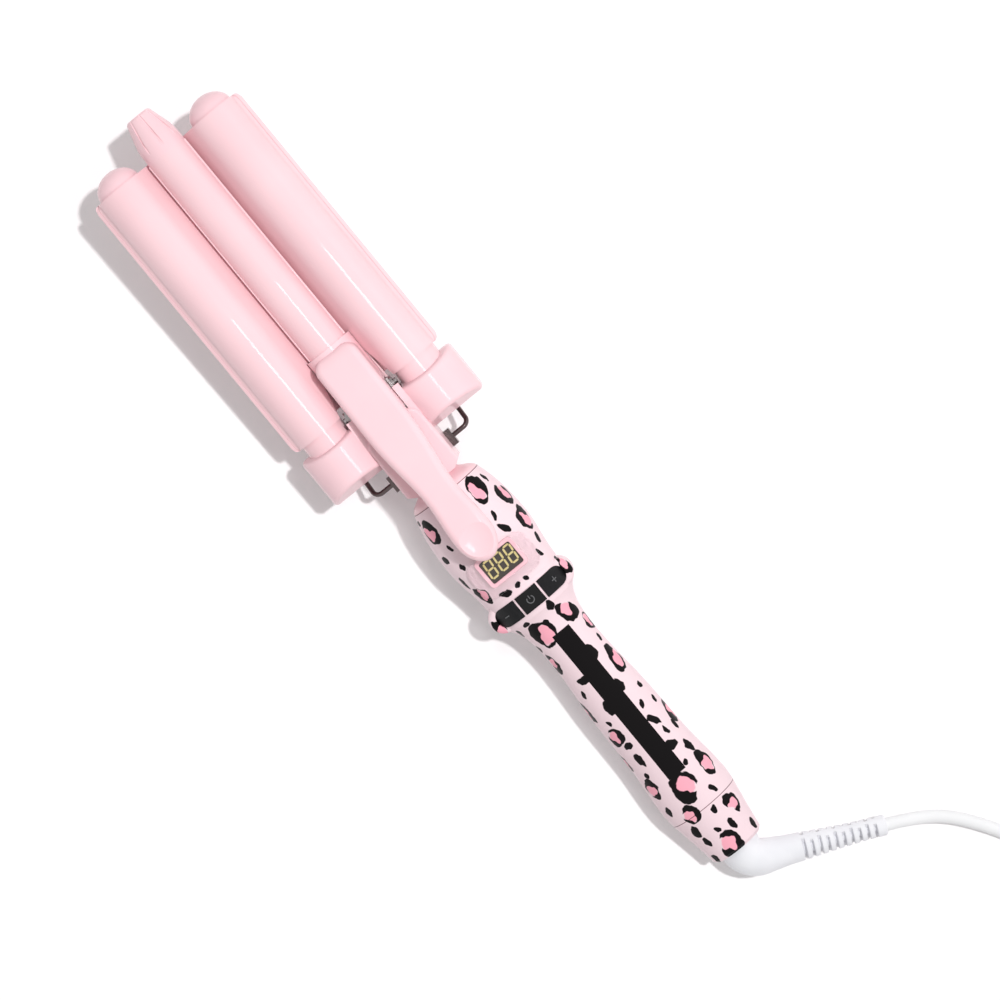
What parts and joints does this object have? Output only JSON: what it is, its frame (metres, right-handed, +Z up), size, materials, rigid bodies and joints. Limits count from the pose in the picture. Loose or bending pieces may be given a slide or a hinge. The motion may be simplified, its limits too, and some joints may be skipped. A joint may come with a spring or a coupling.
{
  "type": "hair waver",
  "caption": "Corded hair waver: parallel heated barrels with a lever jaw, a display, buttons, a wire stand and a swivel cord.",
  "frame": {"origin": "on the floor under the middle of the tool as it lies on its stand, cord left out", "axes": "+X along the tool towards the barrel tips, level; +Y to the user's left; +Z up, out of the thumb lever's side"},
  "size_m": [0.4968, 0.2346, 0.06],
  "materials": {
    "barrel_metal": "gloss",
    "pink_plate": "gloss",
    "pink_plastic": "gloss",
    "printed_plastic": "satin, animal print",
    "spreader": "extruded",
    "ceramic": "ceramic heater in film",
    "sensor": "clear",
    "steel": "bare",
    "spring_steel": "bare",
    "screw_steel": "zinc",
    "bright_steel": "polished",
    "button_black": "gloss",
    "bezel_clear": "clear, tinted",
    "window_dark": "smoked",
    "module_dark": "matt",
    "circuit_board": "solder mask",
    "component": "matt",
    "lead_sleeve": "glass-fibre sleeve",
    "brass": "plain",
    "black_plastic": "matt",
    "white_plastic": "satin",
    "white_rubber": "satin",
    "white_cord": "satin"
  },
  "bodies": {
    "handle": {"left_barrel": "barrel_metal", "right_barrel": "barrel_metal", "left_end_cap": "pink_plastic", "right_end_cap": "pink_plastic", "trough_plate": "pink_plate", "left_side_rail": "pink_plate", "right_side_rail": "pink_plate", "cross_braces": "pink_plate", "outer_heat_spreaders": "spreader", "outer_heater_cores": "ceramic", "outer_temperature_sensors": "sensor", "left_housing": "pink_plastic", "right_housing": "pink_plastic", "hinge_frame": "steel", "hinge_pin": "steel", "hinge_clips": "steel", "return_spring": "spring_steel", "neck_upper_shell": "pink_plastic", "neck_lower_shell": "pink_plastic", "case_screws": "screw_steel", "board_screws": "screw_steel", "front_ring": "pink_plastic", "stand_bracket": "bright_steel", "handle_upper_shell": "printed_plastic", "handle_lower_shell": "printed_plastic", "button_collar": "printed_plastic", "tail_cap": "printed_plastic", "display_bezel": "bezel_clear", "display_window": "window_dark", "display_module": "module_dark", "control_board": "circuit_board", "power_board": "circuit_board", "board_components": "component", "tactile_switches": "component", "lead_bundle": "lead_sleeve", "brush_block": "black_plastic", "contact_springs": "brass"},
    "lever": {"lever_cover": "pink_plastic", "barrel_band": "pink_plastic", "lever_bracket": "steel", "centre_barrel": "pink_plate", "cool_tip": "pink_plastic", "jaw_plate": "pink_plate", "centre_heat_spreaders": "spreader", "centre_heater_core": "ceramic", "centre_temperature_sensor": "sensor"},
    "minus_button": {"minus_button": "button_black"},
    "power_button": {"power_button": "button_black"},
    "plus_button": {"plus_button": "button_black"},
    "stand": {"stand_wire": "bright_steel"},
    "cord_swivel": {"cord_boot": "white_rubber", "swivel_spindle": "white_plastic", "slip_rings": "brass", "cord": "white_cord", "cord_coil": "white_cord", "plug_lead": "white_cord", "mains_plug": "white_plastic", "plug_blades": "brass", "cord_tie": "black_plastic"}
  },
  "joints": [
    {"name": "lever_hinge", "type": "hinge", "parent": "handle", "child": "lever", "pos_m": [0.04264, 0, 0.03333], "axis": [0, -1, 0], "range_deg": [0, 7.5], "stiffness_Nm_per_rad": 2, "springref_deg": -8.59, "deforming": ["return_spring"]},
    {"name": "minus_press", "type": "slide", "parent": "handle", "child": "minus_button", "axis": [0.0663, 0, -0.9978], "range_m": [0, 0.0006], "stiffness_N_per_m": 800, "springref_m": -0.0008},
    {"name": "power_press", "type": "slide", "parent": "handle", "child": "power_button", "axis": [0.0663, 0, -0.9978], "range_m": [0, 0.0006], "stiffness_N_per_m": 800, "springref_m": -0.0008},
    {"name": "plus_press", "type": "slide", "parent": "handle", "child": "plus_button", "axis": [0.0663, 0, -0.9978], "range_m": [0, 0.0006], "stiffness_N_per_m": 800, "springref_m": -0.0008},
    {"name": "stand_hinge", "type": "hinge", "parent": "handle", "child": "stand", "pos_m": [0.01151, 0, 0.01924], "axis": [0, 1, 0], "range_deg": [0, 120]},
    {"name": "swivel_turn", "type": "hinge", "parent": "handle", "child": "cord_swivel", "pos_m": [-0.18898, 0, 0.01394], "axis": [0.9978, 0, 0.0663], "continuous": true}
  ]
}
